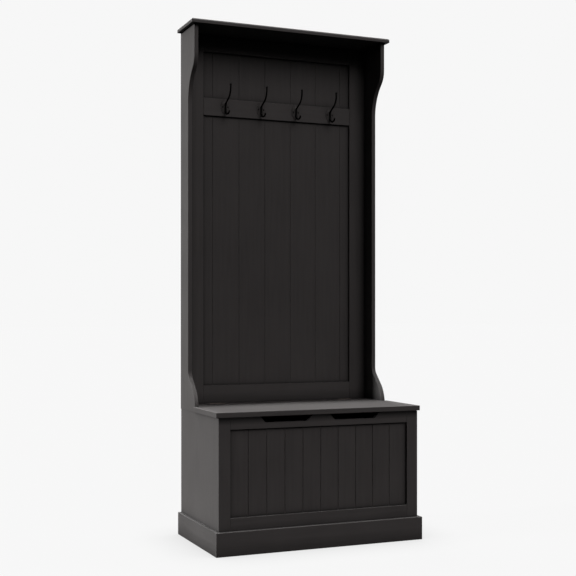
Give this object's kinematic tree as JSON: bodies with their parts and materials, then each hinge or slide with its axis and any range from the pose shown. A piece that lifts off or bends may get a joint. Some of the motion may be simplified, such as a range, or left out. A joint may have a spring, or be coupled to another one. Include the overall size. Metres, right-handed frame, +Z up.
{
  "type": "hall tree",
  "caption": "Hall tree: a lidded storage bench under an open hutch with a boarded back, a rail of double coat hooks and a flat cornice.",
  "frame": {"origin": "centre of the footprint, on the floor", "axes": "+X to the right as a person faces it, -Y to the front, +Z up"},
  "size_m": [0.7836, 0.428, 1.85],
  "materials": {
    "painted_wood": "satin charcoal black paint",
    "bare_wood": "planed, unpainted",
    "black_iron": "black satin",
    "hinge_metal": "dark bronzed satin",
    "zinc_steel": "zinc plated",
    "felt": "felt"
  },
  "bodies": {
    "carcass": {"back_board_01": "painted_wood", "back_board_02": "painted_wood", "back_board_03": "painted_wood", "back_board_04": "painted_wood", "back_board_05": "painted_wood", "back_board_06": "painted_wood", "back_board_07": "painted_wood", "back_bottom_rail": "painted_wood", "back_stile_left": "painted_wood", "back_stile_right": "painted_wood", "back_top_rail": "painted_wood", "chest_back_panel": "painted_wood", "chest_back_rail": "painted_wood", "chest_floor_panel": "painted_wood", "chest_side_left": "painted_wood", "chest_side_right": "painted_wood", "coat_hook_1": "black_iron", "coat_hook_2": "black_iron", "coat_hook_3": "black_iron", "coat_hook_4": "black_iron", "cornice_board": "painted_wood", "dowels": "bare_wood", "floor_cleats": "bare_wood", "front_board_01": "painted_wood", "front_board_02": "painted_wood", "front_board_03": "painted_wood", "front_board_04": "painted_wood", "front_board_05": "painted_wood", "front_board_06": "painted_wood", "front_board_07": "painted_wood", "front_board_08": "painted_wood", "front_board_09": "painted_wood", "front_board_10": "painted_wood", "front_bottom_rail": "painted_wood", "front_stile_left": "painted_wood", "front_stile_right": "painted_wood", "front_top_rail": "painted_wood", "hinge_leaves_fixed": "hinge_metal", "hinge_pins": "hinge_metal", "hinge_screws_fixed": "hinge_metal", "hook_rail": "painted_wood", "hook_screws": "black_iron", "hutch_side_left": "painted_wood", "hutch_side_right": "painted_wood", "lid_bumpers": "felt", "plinth_front": "painted_wood", "plinth_left": "painted_wood", "plinth_right": "painted_wood", "seat_rear_rail": "painted_wood", "stay_studs": "zinc_steel"},
    "lid": {"seat_lid": "painted_wood", "hinge_leaves_lid": "hinge_metal", "lid_screws": "zinc_steel", "stay_brackets": "zinc_steel", "stay_rivets": "zinc_steel"},
    "stay_left": {"stay_arm_left": "zinc_steel"},
    "stay_right": {"stay_arm_right": "zinc_steel"}
  },
  "joints": [
    {"name": "lid_hinge", "type": "hinge", "parent": "carcass", "child": "lid", "pos_m": [0, 0.157, 0.478], "axis": [-1, 0, 0], "range_deg": [0, 65]},
    {"name": "stay_left_pivot", "type": "hinge", "parent": "lid", "child": "stay_left", "pos_m": [-0.3581, 0.01983, 0.45], "axis": [-1, 0, 0], "range_deg": [-35, 0]},
    {"name": "stay_right_pivot", "type": "hinge", "parent": "lid", "child": "stay_right", "pos_m": [0.3581, 0.01983, 0.45], "axis": [-1, 0, 0], "range_deg": [-35, 0]}
  ],
  "couplings": [
    {"joint": "stay_left_pivot", "follows": "lid_hinge", "ratio": -0.5},
    {"joint": "stay_right_pivot", "follows": "lid_hinge", "ratio": -0.5}
  ]
}
